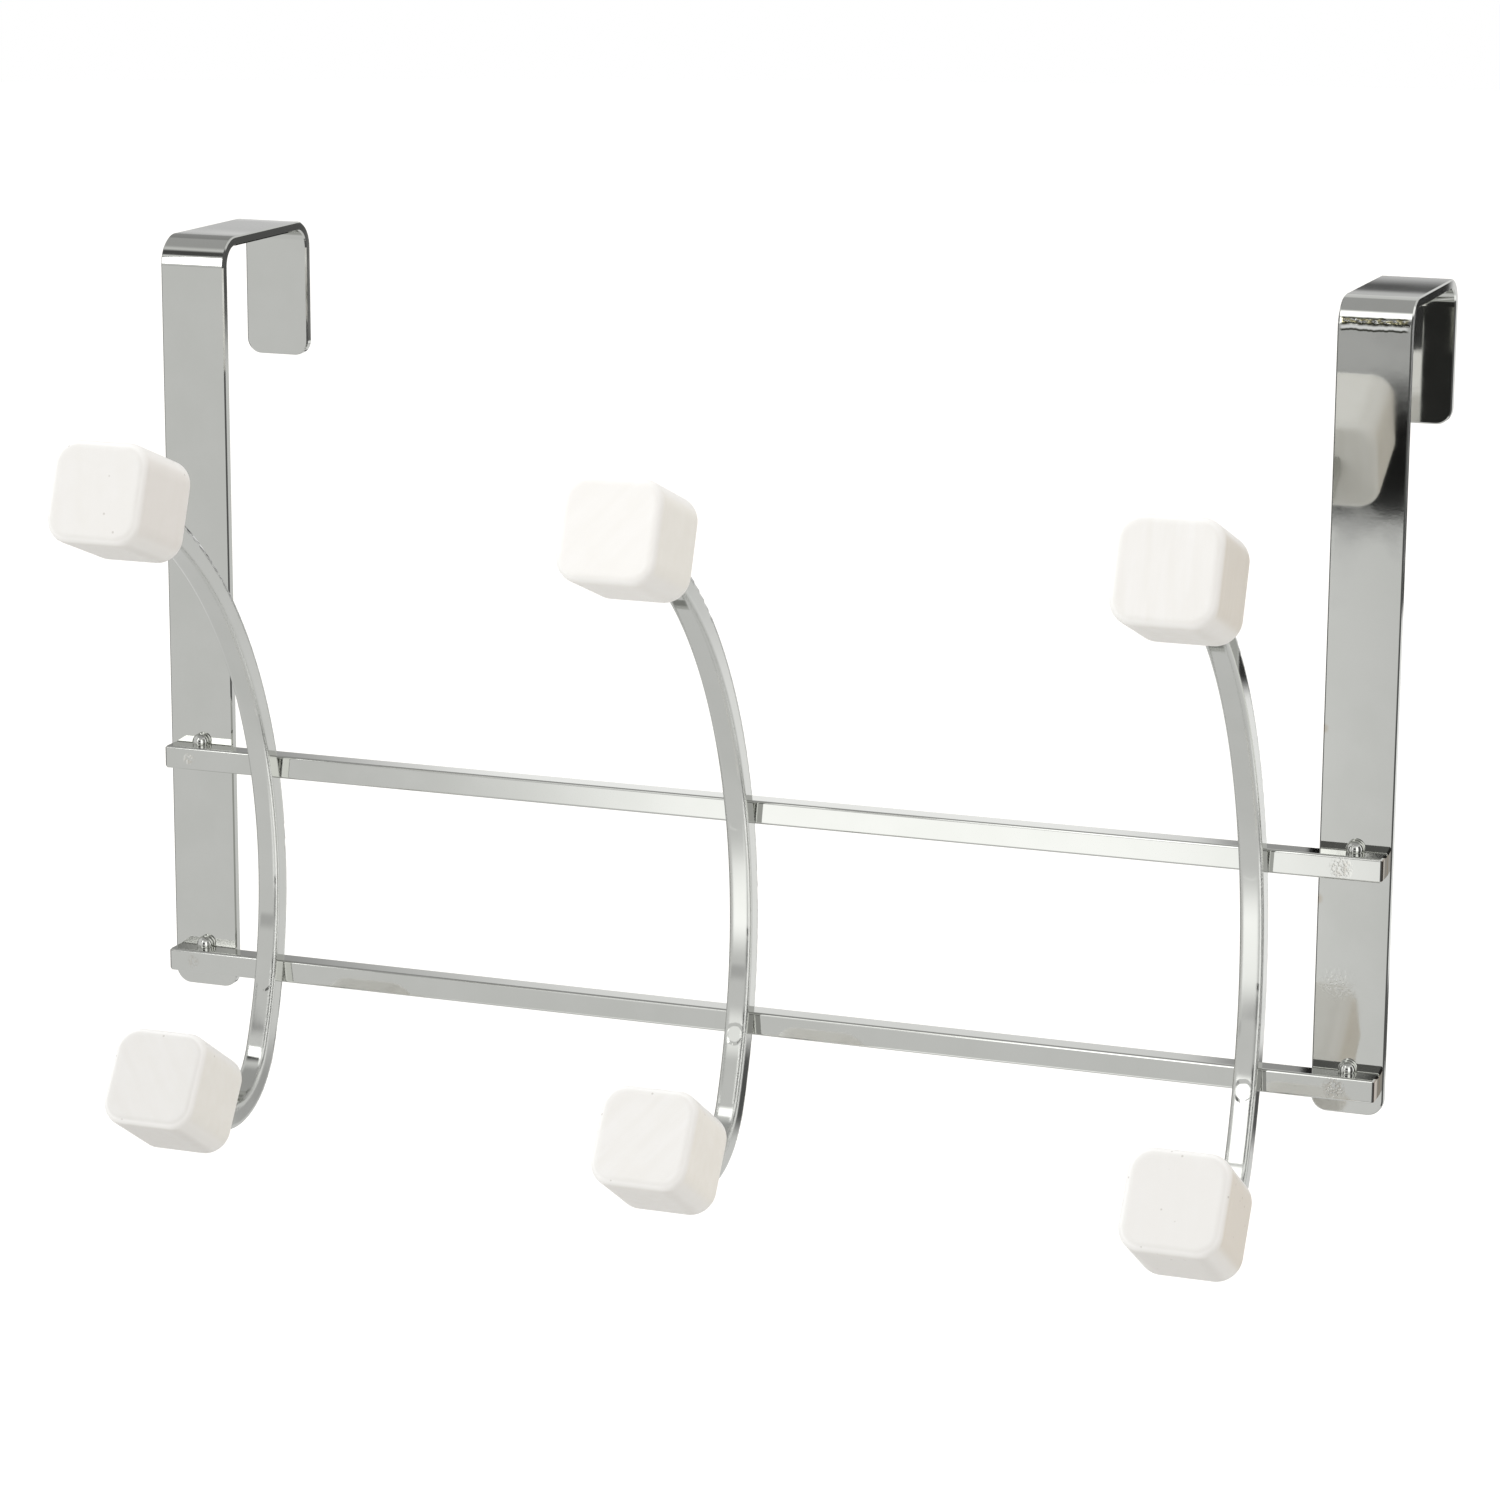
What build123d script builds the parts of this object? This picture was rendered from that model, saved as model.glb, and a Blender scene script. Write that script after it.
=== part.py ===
from build123d import *
import math
import os

# Over door hook rack in millimetres: two straps over the door, two rails and three curved double hooks with knobs.
# X runs along the rack, Y from the room into the door, Z up.
# The origin lies midway between the straps, on the door's front face and level with its top edge.

# Straps, bent from flat strip
strap_width = 18.0
strap_thickness = 2.5
strap_spacing = 312.0
door_gap = 46.5
strap_bend_radius = 5.0
front_leg_drop = 198.2
return_leg_drop = 34.2
strap_corner_radius = 4.0
strap_edge_bevel = 0.35

# Rails, square bar across the straps
rail_size = 6.0
rail_end_inset = 1.0
upper_rail_drop = 134.8
rail_spacing = 55.6
rail_edge_radius = 0.6
rail_end_bevel = 0.5

# Hooks, square bar bent in one upright plane
hook_size = 6.0
hook_spacing = 133.0
hook_edge_radius = 1.0
hook_front_radius = 117.5
hook_low_point = 0.7
hook_upper_angle = 59.0
hook_lower_angle = 22.5
tip_bend_radius = 50.0
tip_bend_angle = 11.0
curl_inner_radius = 17.6
curl_angle = 99.5
curl_tail_length = 9.8
weld_set = 0.5

# Knobs, soft cubes on round spigots
knob_width = 25.5
knob_depth = 25.5
knob_corner_radius = 6.3
knob_edge_radius = 2.4
spigot_diameter = 4.0
spigot_length = 13.0
spigot_clearance = 0.05
bore_end_gap = 1.0

# Weld balls in the corners between rails and straps
ball_diameter = 4.5
ball_sink = 1.6

# Places worked out from the sizes above
strap_places = {"left": -strap_spacing / 2, "right": strap_spacing / 2}
rail_places = {"upper": -upper_rail_drop, "lower": -upper_rail_drop - rail_spacing}
hook_places = {"left": -hook_spacing, "middle": 0.0, "right": hook_spacing}
rail_front = -strap_thickness - rail_size
rail_length = strap_spacing + strap_width - 2 * rail_end_inset


def make_strap(x):
    """Flat strip bent over the door, with a long front leg and a short return leg behind."""
    front = -strap_thickness / 2
    back = door_gap + strap_thickness / 2
    centre_line = FilletPolyline(
        (front, -front_leg_drop),
        (front, strap_thickness / 2),
        (back, strap_thickness / 2),
        (back, -return_leg_drop),
        radius=strap_bend_radius + strap_thickness / 2,
    )
    section = trace(centre_line, line_width=strap_thickness)
    strip = extrude(Plane.YZ.offset(x - strap_width / 2) * section, amount=strap_width)
    leg_corners = strip.edges().filter_by(Axis.Y).filter_by(lambda e: e.center().Z < -strap_bend_radius)
    strip = fillet(leg_corners, strap_corner_radius)
    return chamfer(strip.edges(), strap_edge_bevel)


def make_rail(z):
    """Square bar with softened edges, its back face against the fronts of the straps."""
    section = RectangleRounded(rail_size, rail_size, rail_edge_radius)
    bar = extrude(Plane.YZ.offset(-rail_length / 2) * section, amount=rail_length)
    ends = bar.edges().group_by(Axis.X)
    bar = chamfer(ends[0] + ends[-1], rail_end_bevel)
    return Pos(0, rail_front + rail_size / 2, z) * bar


def polar(centre, radius, angle):
    """Point at a distance and an angle in degrees from a centre in the hook's plane."""
    return (
        centre[0] + radius * math.cos(math.radians(angle)),
        centre[1] + radius * math.sin(math.radians(angle)),
    )


def make_hook_path():
    """Centre line of a hook in its plane, Y and Z, from the upper tip to the lower one."""
    middle = (rail_places["upper"] + rail_places["lower"]) / 2 - hook_low_point
    back_radius = hook_front_radius + hook_size
    reach = rail_spacing / 2 - rail_size / 2 + hook_low_point
    sagitta = back_radius - math.sqrt(back_radius**2 - reach**2)
    centre = (rail_front + weld_set + sagitta - back_radius, middle)
    main_radius = hook_front_radius + hook_size / 2
    curl_radius = curl_inner_radius + hook_size / 2
    tip_centre = polar(centre, main_radius - tip_bend_radius, hook_upper_angle)
    curl_centre = polar(centre, main_radius - curl_radius, -hook_lower_angle)
    tip = CenterArc(tip_centre, tip_bend_radius, hook_upper_angle + tip_bend_angle, -tip_bend_angle)
    main = CenterArc(centre, main_radius, hook_upper_angle, -hook_upper_angle - hook_lower_angle)
    curl = CenterArc(curl_centre, curl_radius, -hook_lower_angle, -curl_angle)
    tail = Line(curl @ 1, curl @ 1 + (curl % 1) * curl_tail_length)
    return Plane.YZ * Wire([tip, main, curl, tail])


def tip_plane(path, end, x):
    """Plane across a hook's tip, its Z axis pointing out of the bar's end."""
    outward = -(path % 0) if end == 0 else path % 1
    return Plane(origin=path @ end + Vector(x, 0, 0), x_dir=(1, 0, 0), z_dir=outward)


def make_hook(path, x, rails):
    """Square bar swept along the hook's line, let into the rails at the welds, with a spigot at each tip."""
    section = Plane(origin=path @ 0, x_dir=(1, 0, 0), z_dir=path % 0) * RectangleRounded(
        hook_size, hook_size, hook_edge_radius
    )
    bar = Pos(x, 0, 0) * sweep(section, path=path)
    for rail in rails:
        bar -= rail
    spigot = Cylinder(spigot_diameter / 2, spigot_length, align=(Align.CENTER, Align.CENTER, Align.MIN))
    for end in (0, 1):
        bar += tip_plane(path, end, x) * spigot
    return bar


def make_knob():
    """Soft cube on the XY plane with a blind bore in its underside for the spigot."""
    block = extrude(RectangleRounded(knob_width, knob_width, knob_corner_radius), amount=knob_depth)
    rims = block.edges().group_by(Axis.Z)
    block = fillet(rims[0] + rims[-1], knob_edge_radius)
    bore = Cylinder(
        spigot_diameter / 2 + spigot_clearance,
        spigot_length + bore_end_gap,
        align=(Align.CENTER, Align.CENTER, Align.MIN),
    )
    return block - bore


def make_weld_ball(strap, rail, x, z):
    """Ball in the corner above a rail and in front of a strap, flat where it meets them."""
    reach = ball_diameter / 2 - ball_sink
    ball = Pos(x, -strap_thickness - reach, z + rail_size / 2 + reach) * Sphere(ball_diameter / 2)
    return ball - strap - rail


# Build the rack and write one file for each piece.
os.makedirs("parts", exist_ok=True)

straps = {side: make_strap(x) for side, x in strap_places.items()}
rails = {level: make_rail(z) for level, z in rail_places.items()}
hook_path = make_hook_path()
knob = make_knob()

nodes = {}
for side, strap in straps.items():
    nodes[f"strap_{side}"] = strap
for level, rail in rails.items():
    nodes[f"rail_{level}"] = rail
for place, x in hook_places.items():
    nodes[f"hook_{place}"] = make_hook(hook_path, x, rails.values())
    nodes[f"knob_upper_{place}"] = tip_plane(hook_path, 0, x) * knob
    nodes[f"knob_lower_{place}"] = tip_plane(hook_path, 1, x) * knob
for side, strap in straps.items():
    for level, rail in rails.items():
        ball = make_weld_ball(strap, rail, strap_places[side], rail_places[level])
        nodes[f"weld_ball_{level}_{side}"] = ball

for name, shape in nodes.items():
    export_step(shape, f"parts/{name}.step")
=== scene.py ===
import math

import bpy
from mathutils import Matrix, Vector


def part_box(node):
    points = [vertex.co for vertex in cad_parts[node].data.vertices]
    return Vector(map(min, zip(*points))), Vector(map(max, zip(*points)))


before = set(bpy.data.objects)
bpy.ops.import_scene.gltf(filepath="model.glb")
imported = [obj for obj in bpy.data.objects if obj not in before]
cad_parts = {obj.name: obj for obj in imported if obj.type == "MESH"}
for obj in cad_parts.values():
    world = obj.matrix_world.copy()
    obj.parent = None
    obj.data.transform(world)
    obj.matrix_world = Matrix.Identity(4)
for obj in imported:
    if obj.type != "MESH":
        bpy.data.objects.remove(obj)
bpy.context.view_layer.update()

# The parts by the names of their solids
SIDES = ("left", "right")
LEVELS = ("upper", "lower")
PLACES = ("left", "middle", "right")

MM = 0.001
WHITE = (1, 1, 1, 1)

# Camera: turned to its left, tilted down and rolled, in degrees, with its place in metres
CAMERA_TURN = 20.42
CAMERA_TILT = 13.03
CAMERA_ROLL = 0.338
CAMERA_PLACE = (0.395, -1.06559, 0.14233)
FOCAL_PIXELS = 4594.7
PHOTO_PIXELS = 1500
SENSOR_WIDTH = 36.0

# Lamps: place, the point that each faces, width and height in metres, and brightness as seen
KEY_LAMP = ((-0.9, -1.5, 0.9), (0, 0, -0.1), 1.2, 1.2, 2.2)
STRIP_LAMP = ((-0.387, -0.446, 0.093), (-0.156, 0.0, 0.0), 0.036, 0.203, 3.3)

# Soft light on the paint: its level, how it grows along X, Y and Z, and the side and tint of its warmth
FILL_LEVEL = 0.97
FILL_SLOPE = (-0.25, 0.30, 0.20)
WARM_SIDE = (1, 0, -0.4)
WARM_TINT = (1.0, 0.93, 0.845, 1)

# Floor, in metres, with a little glow of its own
FLOOR_HEIGHT = -0.45
FLOOR_RADIUS = 6.0
FLOOR_COLOUR = (0.66, 0.65, 0.63, 1)
FLOOR_GLOW = 0.4

# Colours of the chrome plate, duller and clearer, of the marks on it, and of the painted dark reflection and
# painted highlight on the right-hand strap's bend
CHROME_DULL = (0.545, 0.552, 0.525, 1)
CHROME_CLEAR = (0.562, 0.568, 0.543, 1)
WORN = (0.50, 0.45, 0.38, 1)
STAIN = (0.40, 0.32, 0.22, 1)
BARE_END = (0.26, 0.21, 0.16, 1)
CREASE_SPECKLE = (0.62, 0.58, 0.36, 1)
PAINTED_DARK_REFLECTION = (0.03, 0.032, 0.02, 1)
PAINTED_BEND_HIGHLIGHT = (0.95, 0.96, 0.94, 1)

# Heights of the bumps in the chrome, in millimetres
WAVE_HEIGHT = 0.014
DUST_HEIGHT = 0.0004
SCUFF_HEIGHT = -0.02
FROST_HEIGHT = 0.006
CREASE_HEIGHT = 0.05

# How far the marks roughen the chrome, and how strongly they and the painted dark reflection lines colour it
SCUFF_ROUGHNESS = 0.12
FROST_ROUGHNESS = 0.10
SCUFF_TINT = 0.35
STAIN_TINT = 0.45
PAINTED_DARK_REFLECTION_TINT = 0.92

# Lean of the front faces downwards and their turn to the right, in degrees,
# and the rounding of the straps' tops
STRAP_LEAN = 2.2
RIGHT_STRAP_TURN = 1.6
STRAP_BOW = 1.2
RAIL_LEAN = {"upper": 2.2, "lower": -8.6}

# Depths along Y: fronts of the rails and of the straps, the band where the lean fades out,
# and the middle of the straps' tops
RAIL_FRONT = -8.5 * MM
STRAP_FRONT = -2.5 * MM
LEAN_END = (8 * MM, 16 * MM)
TOP_MIDDLE = 0.024

# Electrode marks on the hooks: radius, drop below a rail's middle, and depth in millimetres at each rail
RING_RADIUS = 2.4 * MM
RING_DROP = 1.2 * MM
RING_DEPTHS = {"left": (0.004, 0.02), "middle": (0.015, 0.06), "right": (0.008, 0.045)}

# How far the hooks' edges are rounded in their shading
HOOK_SOFTENING = 1.0 * MM

# Scuffs on the rails, as place across and radius, and half of a rail's length
SCUFFS = ((0.154, 3.4 * MM), (-0.157, 2.2 * MM))
RAIL_END = 0.164

# Stains and the frosted area on the right-hand strap, as place across, height and radius
STAINS = ((0.1470, -0.102, 1.7 * MM), (0.1468, -0.1445, 2.0 * MM))
FROST = (0.1528, -0.166, 6.0 * MM)

# Crease of the right-hand strap's bend, with painted dark reflections and a painted highlight in lines
# across it: where it fades in and out across, in metres, and where each of its lines does so in height, in
# millimetres: the speckled crease, three painted dark reflections (upper, centre, lower) and the painted
# highlight (bright)
CREASE_AND_PAINTED_LINES_ACROSS = (0.1474, 0.1482, 0.1632, 0.1644)
CREASE_AND_PAINTED_LINES = {
    "speckled": (-3.7, -3.5, -2.3, -2.1),
    "upper": (-2.55, -2.40, -2.15, -2.0),
    "centre": (-3.85, -3.65, -3.35, -3.15),
    "lower": (-5.3, -5.1, -4.85, -4.65),
    "bright": (-4.7, -4.5, -4.1, -3.9),
}

# How far the knobs on each row are tipped back, in degrees
KNOB_TIP = {"upper": 20, "lower": 32}

# Paint of each knob: whiteness, which also paints in how brightly each knob is lit, turn of the grain in
# degrees, its strength, the mottling's strength, the share of specks and the painted light and shade on the
# right side, as a tint that brightens above one and darkens below
PAINTS = {
    "upper_left": (0.92, 8, 0.8, 1.6, 0.06, (1.06, 1.05, 1.05)),
    "upper_middle": (1.03, -42, 1.2, 1.0, 0.0, (1.02, 1.02, 1.0)),
    "upper_right": (0.985, 2, 2.4, 0.6, 0.0, (0.90, 0.87, 0.82)),
    "lower_left": (0.85, 35, 1.6, 1.4, 0.06, (1.2, 1.2, 1.18)),
    "lower_middle": (0.93, -38, 2.0, 1.0, 0.06, (1.16, 1.15, 1.12)),
    "lower_right": (0.92, 5, 0.5, 0.8, 0.45, (0.98, 0.94, 0.88)),
}

# Colours of the paint, duller and clearer, of the painted highlight on its rims and of its specks, and how
# strongly the specks show
PAINT_DULL = (0.860, 0.850, 0.824)
PAINT_CLEAR = (0.900, 0.895, 0.882)
PAINTED_RIM_HIGHLIGHT = (0.93, 0.93, 0.922, 1)
SPECK = (0.35, 0.31, 0.27, 1)
SPECK_TINT = 0.4

# Strength of grain and mottling in the paint's tone, and the heights of its bumps in millimetres
GRAIN_TONE = 0.16
CLOUD_TONE = 0.14
GRAIN_HEIGHT = 0.020
CLOUD_HEIGHT = 0.030
FINE_HEIGHT = 0.003

# What the polished metal sees around it: one level, and areas that are each laid over the earlier ones.
# Azimuth runs from the room side (-Y) towards the object's right (+X), elevation up from level, in degrees.
# Each area gives where it fades in and out in azimuth, the same in elevation, and its brightness.
STUDIO_LEVEL = 0.87
STUDIO = {
    "floor": ((-400, -399, 399, 400), (-100, -99, -56, -44), 0.82),
    "ceiling": ((-400, -399, 399, 400), (48, 58, 99, 100), 0.52),
    "front_sheet": ((-26, -20.5, -16.5, -8.4), (-42, -27, -16, -6), 1.68),
    "level_line": ((-40, -34, -18, -14), (-6.4, -4.9, -3.9, -1.6), 0.64),
    "low_window": ((-23, -21, -18.5, -17.5), (3, 7, 12, 16), 1.3),
    "side_window": ((-17.9, -17.3, -13.6, -13.1), (6, 8.5, 27, 31), 2.8),
    "high_window": ((-30, -27.5, -10.6, -9.6), (32, 36, 47, 60), 2.3),
    "low_shade": ((-33, -31, -27.4, -27.0), (9, 11, 19, 21), 0.2),
    "beam": ((-45, -39, -31.5, -29.5), (24, 28, 39, 48), 0.1),
    "wall": ((-11.2, -10.8, 20, 26), (-12.5, -12.3, 26, 32), 0.62),
    "skirting": ((-11.2, -10.8, 20, 26), (-11.9, -10.8, -6, -3), 0.33),
    "small_window": ((-10.7, -10.4, -9.42, -9.28), (5.5, 7.5, 11, 12.8), 2.5),
    "doorway": ((-9.32, -9.22, 20, 26), (3, 6, 15, 18), 0.05),
    "window_bar": ((-11.4, -11.0, 20, 26), (14.5, 17.5, 23, 28), 0.2),
    "shelf": ((-10.8, -10.5, 20, 26), (-14.35, -14.1, -12.7, -12.3), 0.01),
    "recess": ((-13.2, -12.95, -11.75, -11.45), (-16, -14, -6.6, -5.6), 0.04),
    "left_wall": ((-135, -122, -100, -84), (-30, -20, 8, 16), 0.22),
    "right_wall": ((22, 28, 50, 56), (-46, -38, 32, 42), 1.9),
    "right_curtain": ((54, 58, 86, 92), (-46, -38, 32, 42), 0.14),
    "right_window": ((88, 94, 112, 120), (-46, -38, 32, 42), 1.5),
    "rear_light": ((150, 160, 171, 174), (-17.0, -16.2, -12.4, -11.0), 1.12),
    "rear_floor_line": ((150, 157, 176, 179), (-17.9, -17.6, -16.9, -16.5), 0.12),
    "rear_left_post": ((147, 149, 157, 158.5), (-10.3, -9.6, -5, -3.5), 0.12),
    "rear_right_post": ((166.7, 167.1, 169.5, 171), (-19, -17.5, -5, -3.5), 0.06),
    "rear_shelf": ((164.7, 165.2, 169.5, 171), (-12.3, -12.0, -5, -3.5), 0.04),
    "rear_corner": ((-176, -173, -166.8, -166.2), (-45, -40, -4, -2), 0.05),
    "rear_ceiling": ((-158.5, -155.5, -124, -112), (8.2, 9.6, 50, 58), 0.36),
    "rear_top": ((-157, -156, -150, -149), (4.2, 4.8, 7.0, 9.4), 0.62),
    "rear_low": ((-178, -175, -160, -158.6), (2.0, 3.0, 11.4, 12.2), 0.62),
    "rear_beam": ((-176, -173, -161, -159), (4.4, 7.4, 8.0, 10.4), 0.12),
    "rear_lamp": ((-166.2, -163.4, -157, -152.5), (10.5, 12, 13.7, 18.6), 1.2),
    "rear_shade": ((-167.9, -167.5, -166.0, -165.2), (12, 13, 19, 22), 0.42),
    "rear_slit": ((-166.98, -166.93, -166.76, -166.71), (12.5, 13, 18, 19), 0.0),
}


class Nodes:
    """Short calls for building one node tree."""

    def __init__(self, tree):
        self.tree = tree
        tree.nodes.clear()

    def add(self, kind, inputs=None, **settings):
        node = self.tree.nodes.new(kind)
        for name, value in settings.items():
            setattr(node, name, value)
        for name, value in (inputs or {}).items():
            self.put(node.inputs[name], value)
        return node

    def put(self, socket, value):
        if isinstance(value, bpy.types.NodeSocket):
            self.tree.links.new(value, socket)
        else:
            socket.default_value = value

    def math(self, operation, a, b=0.0):
        return self.add("ShaderNodeMath", {0: a, 1: b}, operation=operation).outputs[0]

    def times(self, a, b):
        return self.math("MULTIPLY", a, b)

    def total(self, values):
        first, *rest = values
        for value in rest:
            first = self.math("ADD", first, value)
        return first

    def swing(self, noise, amount):
        """Noise made to swing about zero by an amount."""
        return self.times(self.math("SUBTRACT", noise, 0.5), amount)

    def vector(self, operation, a, b=(0, 0, 0)):
        node = self.add("ShaderNodeVectorMath", {0: a, 1: b}, operation=operation)
        return node.outputs["Value" if operation in ("LENGTH", "DOT_PRODUCT") else "Vector"]

    def axes(self, vector):
        return self.add("ShaderNodeSeparateXYZ", {"Vector": vector}).outputs

    def stretch(self, place, scale):
        return self.vector("MULTIPLY", place, scale)

    def turned(self, vector, degrees, axis):
        inputs = {"Vector": vector, "Angle": math.radians(degrees)}
        return self.add("ShaderNodeVectorRotate", inputs, rotation_type=axis).outputs["Vector"]

    def ramp(self, value, low, high, out_low=0.0, out_high=1.0, smooth=True):
        node = self.add(
            "ShaderNodeMapRange",
            {"Value": value, "From Min": low, "From Max": high, "To Min": out_low, "To Max": out_high},
            interpolation_type="SMOOTHSTEP" if smooth else "LINEAR",
        )
        return node.outputs["Result"]

    def window(self, value, edges):
        """One between the inner two edges and zero outside the outer two."""
        rise = self.ramp(value, edges[0], edges[1])
        fall = self.ramp(value, edges[2], edges[3], 1.0, 0.0)
        return self.times(rise, fall)

    def noise(self, place, scale, detail=2.0):
        inputs = {"Vector": place, "Scale": scale, "Detail": detail}
        return self.add("ShaderNodeTexNoise", inputs).outputs["Fac"]

    def blend(self, factor, a, b):
        node = self.add("ShaderNodeMix", data_type="FLOAT")
        for socket, value in zip((0, 2, 3), (factor, a, b)):
            self.put(node.inputs[socket], value)
        return node.outputs[0]

    def mix(self, factor, a, b, blend="MIX"):
        node = self.add("ShaderNodeMix", data_type="RGBA", blend_type=blend)
        for socket, value in zip((0, 6, 7), (factor, a, b)):
            self.put(node.inputs[socket], value)
        return node.outputs[2]


def new_material(name):
    material = bpy.data.materials.new(name)
    material.use_nodes = True
    return material, Nodes(material.node_tree)


def dress(node, material):
    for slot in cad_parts[node].material_slots:
        slot.material = material


def middle(node):
    low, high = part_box(node)
    return (Vector(low) + Vector(high)) / 2


def lean_normal(n, place, lean, turn, bow, soften):
    """Leans front faces down and turns them right, in degrees, rounds the tops by bow and softens edges."""
    depth = n.axes(place)["Y"]
    front = n.ramp(depth, *LEAN_END, 1.0, 0.0)
    tilt = n.add(
        "ShaderNodeCombineXYZ",
        {
            "X": n.times(front, math.tan(math.radians(turn))),
            "Y": n.times(n.math("SUBTRACT", depth, TOP_MIDDLE), bow),
            "Z": n.times(front, -math.tan(math.radians(lean))),
        },
    )
    if soften:
        face = n.add("ShaderNodeBevel", {"Radius": soften}, samples=6).outputs["Normal"]
    else:
        face = n.add("ShaderNodeNewGeometry").outputs["Normal"]
    return n.vector("NORMALIZE", n.vector("ADD", face, tilt.outputs[0]))


def distance(n, place, centre, scale):
    """Distance from a centre, with each axis scaled."""
    offset = n.vector("SUBTRACT", place, centre)
    return n.vector("LENGTH", n.stretch(offset, scale))


def weld_ring(n, place, centre, depth):
    """Round mark of an electrode, pressed into the front face; depth in millimetres."""
    wobble = n.swing(n.noise(place, scale=500.0), 0.8 * MM)
    reach = n.math("ADD", distance(n, place, centre, (1, 0, 1)), wobble)
    return n.ramp(reach, RING_RADIUS - 0.6 * MM, RING_RADIUS + 0.5 * MM, -depth, 0.0)


def patch(n, place, centre, radius):
    """Soft-edged round area on the front face."""
    return n.ramp(distance(n, place, centre, (1, 0.4, 1)), 0.3 * radius, radius, 1.0, 0.0)


def scuff(n, place, centre, radius):
    """Patch of rough scratches around a weld."""
    grain = n.noise(place, scale=1500.0, detail=3.0)
    return n.times(patch(n, place, centre, radius), n.ramp(grain, 0.4, 0.65))


def crease_and_painted_lines(n, place):
    """Strength of the speckled crease at the right-hand strap's bend, and of the painted dark reflection
    lines and the painted highlight line across it.
    """
    axes = n.axes(place)
    front = n.ramp(axes["Y"], 3 * MM, 4 * MM, 1.0, 0.0)
    inset = n.times(front, n.window(axes["X"], CREASE_AND_PAINTED_LINES_ACROSS))
    wander = n.swing(n.noise(n.stretch(place, (1, 1, 0.1)), scale=420.0, detail=3.0), 0.9 * MM)
    height = n.math("ADD", axes["Z"], wander)
    lines = {}
    for name, edges in CREASE_AND_PAINTED_LINES.items():
        lines[name] = n.window(height, [edge * MM for edge in edges])
    dark = n.math("MAXIMUM", lines["upper"], n.math("MAXIMUM", lines["centre"], lines["lower"]))
    return [n.times(share, inset) for share in (lines["speckled"], dark, lines["bright"])]


def make_chrome(
    name,
    lean=0.0,
    turn=0.0,
    bow=0.0,
    soften=0.0,
    rings=(),
    scuffs=(),
    stains=(),
    frosts=(),
    ends=None,
    creased_with_painted_lines=False,
):
    """Bright chrome plate: faint haze, soft waves, the marks asked for and a slight tilt of its faces."""
    material, n = new_material(name)
    place = n.add("ShaderNodeTexCoord").outputs["Object"]
    haze = n.noise(place, scale=90.0, detail=4.0)
    dust = n.noise(place, scale=1400.0)
    colour = n.mix(n.ramp(haze, 0.3, 0.7), CHROME_DULL, CHROME_CLEAR)
    rough = n.ramp(haze, 0.35, 0.75, 0.03, 0.07)
    heights = [
        n.times(n.noise(place, scale=38.0, detail=1.0), WAVE_HEIGHT),
        n.times(dust, DUST_HEIGHT),
    ]
    for centre, depth in rings:
        heights.append(weld_ring(n, place, centre, depth))
    for centre, radius in scuffs:
        worn = scuff(n, place, centre, radius)
        heights.append(n.times(worn, SCUFF_HEIGHT))
        rough = n.math("ADD", rough, n.times(worn, SCUFF_ROUGHNESS))
        colour = n.mix(n.times(worn, SCUFF_TINT), colour, WORN)
    for centre, radius in stains:
        colour = n.mix(n.times(patch(n, place, centre, radius), STAIN_TINT), colour, STAIN)
    for centre, radius in frosts:
        frost = n.times(patch(n, place, centre, radius), n.ramp(dust, 0.42, 0.6))
        heights.append(n.times(frost, FROST_HEIGHT))
        rough = n.math("ADD", rough, n.times(frost, FROST_ROUGHNESS))
    if ends is not None:
        reach = n.math("ABSOLUTE", n.axes(place)["X"])
        colour = n.mix(n.ramp(reach, ends - 0.4 * MM, ends), colour, BARE_END)
    # Right-hand strap's bend: crease ripples with a yellowish speckle, and painted dark reflection lines and
    # a painted highlight line in the colour.
    if creased_with_painted_lines:
        speckled, dark, bright = crease_and_painted_lines(n, place)
        ripple = n.noise(n.stretch(place, (0.5, 1.0, 1.4)), scale=1300.0)
        heights.append(n.times(n.times(ripple, speckled), CREASE_HEIGHT))
        colour = n.mix(n.times(speckled, n.ramp(ripple, 0.45, 0.55)), colour, CREASE_SPECKLE)
        # Painted dark reflection lines, then a painted highlight line, laid into the chrome's colour.
        colour = n.mix(n.times(dark, PAINTED_DARK_REFLECTION_TINT), colour, PAINTED_DARK_REFLECTION)
        colour = n.mix(bright, colour, PAINTED_BEND_HIGHLIGHT)
    normal = lean_normal(n, place, lean, turn, bow, soften)
    bump = n.add(
        "ShaderNodeBump",
        {"Height": n.total(heights), "Strength": 1.0, "Distance": MM, "Normal": normal},
    )
    shader = n.add(
        "ShaderNodeBsdfPrincipled",
        {"Base Color": colour, "Metallic": 1.0, "Roughness": rough, "Normal": bump.outputs["Normal"]},
    )
    n.add("ShaderNodeOutputMaterial", {"Surface": shader.outputs[0]})
    return material


def painted_rim_highlight_share(n, face, tip):
    """How far a point lies on a knob's rounding, from zero on its flat faces; it sets the painted highlight
    there.
    """
    axes = n.axes(n.vector("ABSOLUTE", n.turned(face, tip, "X_AXIS")))
    flatness = n.math("MAXIMUM", axes["X"], n.math("MAXIMUM", axes["Y"], axes["Z"]))
    return n.ramp(flatness, 0.80, 0.97, 0.7, 0.0)


def speck_share(n, local, specks):
    """Small dots, in a share of the cells that fill the wood."""
    cells = n.add("ShaderNodeTexVoronoi", {"Vector": local, "Scale": 330.0, "Randomness": 1.0})
    pick = n.add("ShaderNodeSeparateColor", {"Color": cells.outputs["Color"]}).outputs[0]
    rare = n.math("LESS_THAN", pick, specks)
    return n.times(n.ramp(cells.outputs["Distance"], 0.06, 0.13, 1.0, 0.0), rare)


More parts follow.
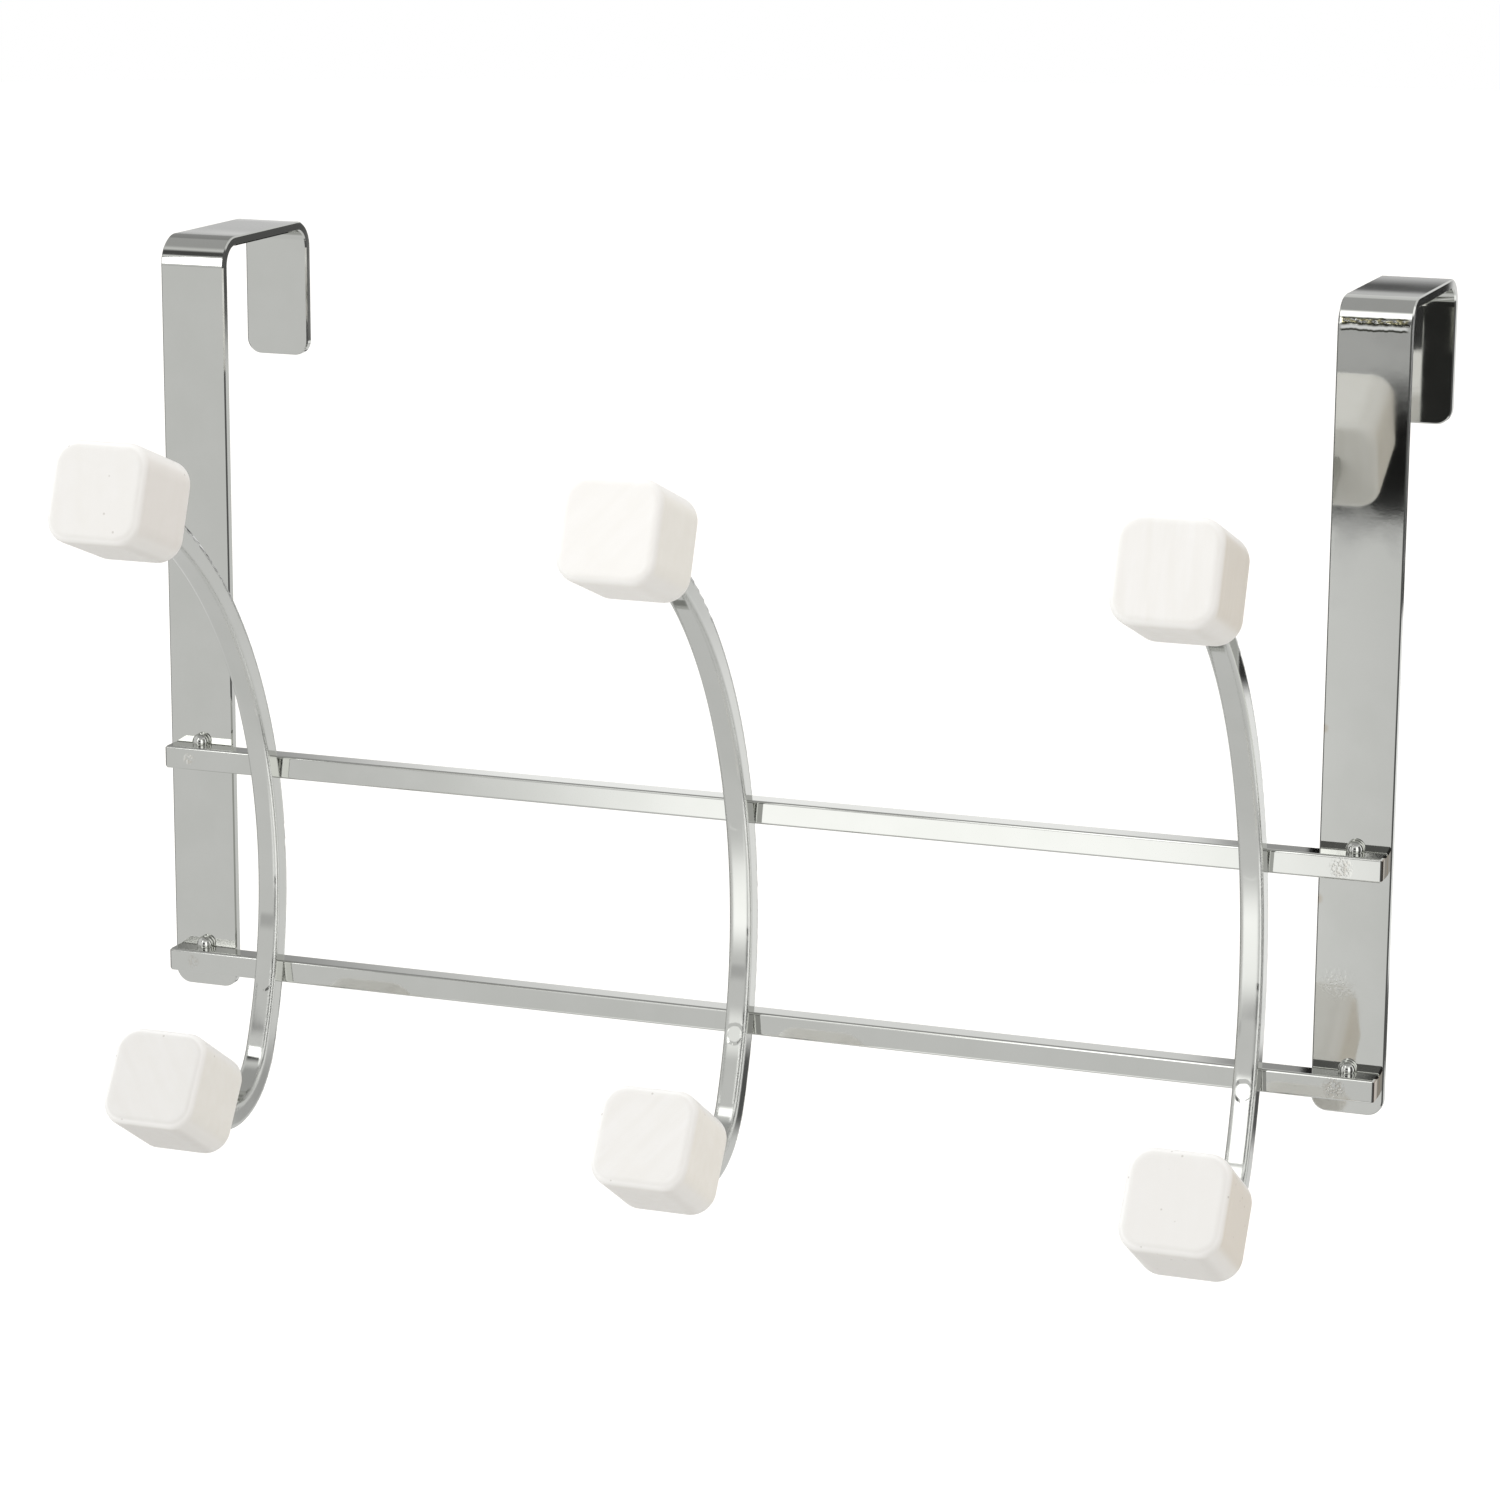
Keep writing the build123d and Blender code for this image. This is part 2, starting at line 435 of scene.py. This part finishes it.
def make_paint(name, node, tip, white, turn, streak, mottle, specks, side):
    """White paint on wood: soft grain, mottling, painted light and shade on the right side, a painted
    highlight on the rims and a few specks.
    """
    material, n = new_material(name)
    place = n.add("ShaderNodeTexCoord").outputs["Object"]
    face = n.add("ShaderNodeNewGeometry").outputs["Normal"]
    local = n.vector("SUBTRACT", place, tuple(middle(node)))
    along = n.turned(n.turned(local, tip, "X_AXIS"), turn, "Y_AXIS")
    grain = n.noise(n.stretch(along, (1.0, 1.0, 0.12)), scale=420.0, detail=3.0)
    cloud = n.noise(local, scale=160.0, detail=3.0)
    fine = n.noise(local, scale=1300.0)
    tone = n.total([n.swing(grain, GRAIN_TONE * streak), n.swing(cloud, CLOUD_TONE * mottle), 0.5])
    # The whiteness also paints in how brightly each knob is lit.
    dull = (*(share * white for share in PAINT_DULL), 1)
    clear = (*(share * white for share in PAINT_CLEAR), 1)
    colour = n.mix(n.ramp(tone, 0.4, 0.6, smooth=False), dull, clear)
    # Painted light and shade on the right side: brightened or darkened by the knob's side tint.
    right_side_painted_shading = n.ramp(n.vector("DOT_PRODUCT", face, (1, 0, 0)), 0.6, 1.0)
    colour = n.mix(right_side_painted_shading, colour, n.mix(1.0, colour, (*side, 1), blend="MULTIPLY"))
    # Painted highlight along the rims.
    colour = n.mix(painted_rim_highlight_share(n, face, tip), colour, PAINTED_RIM_HIGHLIGHT)
    colour = n.mix(n.times(speck_share(n, local, specks), SPECK_TINT), colour, SPECK)
    heights = [
        n.times(grain, GRAIN_HEIGHT * streak),
        n.times(cloud, CLOUD_HEIGHT * mottle),
        n.times(fine, FINE_HEIGHT),
    ]
    bump = n.add("ShaderNodeBump", {"Height": n.total(heights), "Strength": 1.0, "Distance": MM})
    shader = n.add(
        "ShaderNodeBsdfPrincipled",
        {
            "Base Color": colour,
            "Roughness": n.ramp(cloud, 0.3, 0.7, 0.42, 0.55),
            "Specular IOR Level": 0.3,
            "Normal": bump.outputs["Normal"],
        },
    )
    n.add("ShaderNodeOutputMaterial", {"Surface": shader.outputs[0]})
    return material


def make_camera():
    """Camera at the photograph's viewpoint, with its focal length."""
    turn, tilt, roll = (math.radians(angle) for angle in (CAMERA_TURN, CAMERA_TILT, CAMERA_ROLL))
    look = Vector((-math.sin(turn) * math.cos(tilt), math.cos(turn) * math.cos(tilt), -math.sin(tilt)))
    right = Vector((math.cos(turn), math.sin(turn), 0))
    up = right.cross(look)
    side = math.cos(roll) * right + math.sin(roll) * up
    top = math.cos(roll) * up - math.sin(roll) * right
    data = bpy.data.cameras.new("camera")
    data.sensor_width = SENSOR_WIDTH
    data.lens = FOCAL_PIXELS / PHOTO_PIXELS * SENSOR_WIDTH
    data.clip_start, data.clip_end = 0.01, 100.0
    camera = bpy.data.objects.new("camera", data)
    bpy.context.collection.objects.link(camera)
    facing = Matrix((side, top, -look)).transposed().to_4x4()
    camera.matrix_world = Matrix.Translation(CAMERA_PLACE) @ facing
    bpy.context.scene.camera = camera


def studio_level(n, ray):
    """Brightness of the studio in one direction."""
    axes = n.axes(ray)
    azimuth = n.math("DEGREES", n.math("ARCTAN2", axes["X"], n.times(axes["Y"], -1.0)))
    elevation = n.math("DEGREES", n.math("ARCSINE", axes["Z"]))
    level = STUDIO_LEVEL
    for across, upright, value in STUDIO.values():
        inside = n.times(n.window(azimuth, across), n.window(elevation, upright))
        level = n.blend(inside, level, value)
    return level


def seen_share(n, path):
    """One for what is looked at, straight or through something clear."""
    return n.math("MAXIMUM", path["Is Camera Ray"], path["Is Transmission Ray"])


def make_world():
    """White to the eye, plain soft light on the paint, and the studio in the metal."""
    world = bpy.data.worlds.new("studio")
    bpy.context.scene.world = world
    world.use_nodes = True
    n = Nodes(world.node_tree)
    path = n.add("ShaderNodeLightPath").outputs
    ray = n.add("ShaderNodeTexCoord").outputs["Generated"]
    studio = n.add("ShaderNodeBackground", {"Color": WHITE, "Strength": studio_level(n, ray)})
    slope = n.math("ADD", n.vector("DOT_PRODUCT", ray, FILL_SLOPE), FILL_LEVEL)
    warmth = n.ramp(n.vector("DOT_PRODUCT", ray, WARM_SIDE), -0.3, 1.0)
    fill = n.add("ShaderNodeBackground", {"Color": n.mix(warmth, WHITE, WARM_TINT), "Strength": slope})
    white = n.add("ShaderNodeBackground", {"Color": WHITE, "Strength": 1.0})
    glossy = path["Is Glossy Ray"]
    lit = n.add("ShaderNodeMixShader", {0: glossy, 1: fill.outputs[0], 2: studio.outputs[0]})
    final = n.add("ShaderNodeMixShader", {0: seen_share(n, path), 1: lit.outputs[0], 2: white.outputs[0]})
    n.add("ShaderNodeOutputWorld", {"Surface": final.outputs[0]})


def make_lamp(name, place, target, width, height, level):
    """Soft rectangular lamp; level is its brightness as seen."""
    data = bpy.data.lights.new(name, "AREA")
    data.shape = "RECTANGLE"
    data.size, data.size_y = width, height
    data.energy = level * math.pi * width * height
    lamp = bpy.data.objects.new(name, data)
    bpy.context.collection.objects.link(lamp)
    lamp.location = place
    lamp.rotation_euler = (Vector(target) - Vector(place)).to_track_quat("-Z", "Y").to_euler()
    return lamp


def make_floor():
    """Pale round floor that takes the object's shadow and isn't mirrored in the metal."""
    material, n = new_material("floor")
    path = n.add("ShaderNodeLightPath").outputs
    diffuse = n.add("ShaderNodeBsdfDiffuse", {"Color": FLOOR_COLOUR})
    glow = n.add("ShaderNodeEmission", {"Strength": n.times(seen_share(n, path), FLOOR_GLOW)})
    shader = n.add("ShaderNodeAddShader", {0: diffuse.outputs[0], 1: glow.outputs[0]})
    n.add("ShaderNodeOutputMaterial", {"Surface": shader.outputs[0]})
    bpy.ops.mesh.primitive_circle_add(
        vertices=96, radius=FLOOR_RADIUS, fill_type="NGON", location=(0, 0, FLOOR_HEIGHT)
    )
    floor = bpy.context.object
    floor.name = "floor"
    floor.data.materials.append(material)
    floor.visible_glossy = False


def dress_hooks():
    """Chrome hooks, each with two round electrode marks where the rails are welded on behind."""
    for place in PLACES:
        node = f"hook_{place}"
        rings = []
        for level, depth in zip(LEVELS, RING_DEPTHS[place]):
            centre = (middle(node).x, 0, middle(f"rail_{level}").z - RING_DROP)
            rings.append((centre, depth))
        dress(node, make_chrome(f"chrome_{node}", soften=HOOK_SOFTENING, rings=rings))


def dress_rails():
    """Chrome rails with brown ends, scuffed in front of the straps."""
    for level, lean in RAIL_LEAN.items():
        node = f"rail_{level}"
        height = middle(node).z
        spots = [((across, RAIL_FRONT, height), radius) for across, radius in SCUFFS]
        dress(node, make_chrome(f"chrome_{node}", lean=lean, scuffs=spots, ends=RAIL_END))


def dress_straps():
    """Chrome straps; the right-hand one has a crease in its bend with painted dark reflections and a painted
    highlight, two brown stains and a frosted area low down.
    """
    dress("strap_left", make_chrome("chrome_strap_left", lean=STRAP_LEAN, bow=STRAP_BOW))
    spots = [((across, STRAP_FRONT, height), radius) for across, height, radius in (*STAINS, FROST)]
    chrome = make_chrome(
        "chrome_strap_right",
        lean=STRAP_LEAN,
        turn=RIGHT_STRAP_TURN,
        bow=STRAP_BOW,
        stains=spots[:-1],
        frosts=spots[-1:],
        creased_with_painted_lines=True,
    )
    dress("strap_right", chrome)


def dress_balls():
    """Plain chrome on the four weld balls."""
    plain = make_chrome("chrome_balls")
    for level in LEVELS:
        for side in SIDES:
            dress(f"weld_ball_{level}_{side}", plain)


def dress_knobs():
    """White paint, different on each knob, with how brightly each is lit and its right side's light and
    shade painted in.
    """
    for level in LEVELS:
        for place in PLACES:
            spot = f"{level}_{place}"
            paint = make_paint(f"paint_{spot}", f"knob_{spot}", KNOB_TIP[level], *PAINTS[spot])
            dress(f"knob_{spot}", paint)


make_camera()
make_world()
make_floor()
key = make_lamp("key", *KEY_LAMP)
key.visible_glossy = False
strip = make_lamp("strip", *STRIP_LAMP)
strip.visible_diffuse = False

dress_hooks()
dress_rails()
dress_balls()
dress_straps()
dress_knobs()

bpy.context.scene.view_settings.view_transform = "Standard"
